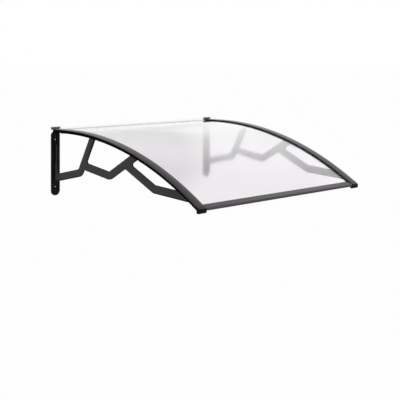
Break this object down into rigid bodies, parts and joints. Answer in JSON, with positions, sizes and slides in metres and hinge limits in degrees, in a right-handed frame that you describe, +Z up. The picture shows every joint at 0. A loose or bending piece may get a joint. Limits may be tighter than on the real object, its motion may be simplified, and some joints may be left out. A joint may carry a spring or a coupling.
{
  "type": "door canopy",
  "caption": "Small wall-mounted door canopy: a curved frosted polycarbonate sheet held by cover strips on dark moulded lattice brackets, with a dark front bar.",
  "frame": {"origin": "on the wall plane, midway between the two brackets, level with the flat rear stretch of the cover strips", "axes": "+X along the wall, +Y into the wall, +Z up; the canopy reaches out along -Y"},
  "size_m": [1.048, 0.999, 0.3234],
  "materials": {
    "frosted_polycarbonate": "frosted twin-wall polycarbonate",
    "dark_plastic": "moulded, fine matt texture",
    "dark_aluminium": "dark anodised extrusion",
    "black_rubber": "extruded rubber seal",
    "black_plastic": "moulded",
    "clear_vinyl": "clear soft extrusion",
    "zinc_steel": "zinc plated"
  },
  "bodies": {
    "root": {"roof_sheet": "frosted_polycarbonate", "front_bar": "dark_aluminium", "wall_seal": "clear_vinyl", "left_bracket": "dark_plastic", "left_cover_strip": "dark_aluminium", "left_clamp_seal": "black_rubber", "left_bed_seal": "black_rubber", "left_edge_seal": "black_rubber", "left_nose_cap": "black_plastic", "left_rear_cap": "black_plastic", "left_strip_screw_1": "zinc_steel", "left_strip_washer_1": "zinc_steel", "left_strip_screw_2": "zinc_steel", "left_strip_washer_2": "zinc_steel", "left_strip_screw_3": "zinc_steel", "left_strip_washer_3": "zinc_steel", "left_strip_screw_4": "zinc_steel", "left_strip_washer_4": "zinc_steel", "right_bracket": "dark_plastic", "right_cover_strip": "dark_aluminium", "right_clamp_seal": "black_rubber", "right_bed_seal": "black_rubber", "right_edge_seal": "black_rubber", "right_nose_cap": "black_plastic", "right_rear_cap": "black_plastic", "right_strip_screw_1": "zinc_steel", "right_strip_washer_1": "zinc_steel", "right_strip_screw_2": "zinc_steel", "right_strip_washer_2": "zinc_steel", "right_strip_screw_3": "zinc_steel", "right_strip_washer_3": "zinc_steel", "right_strip_screw_4": "zinc_steel", "right_strip_washer_4": "zinc_steel"}
  },
  "joints": []
}
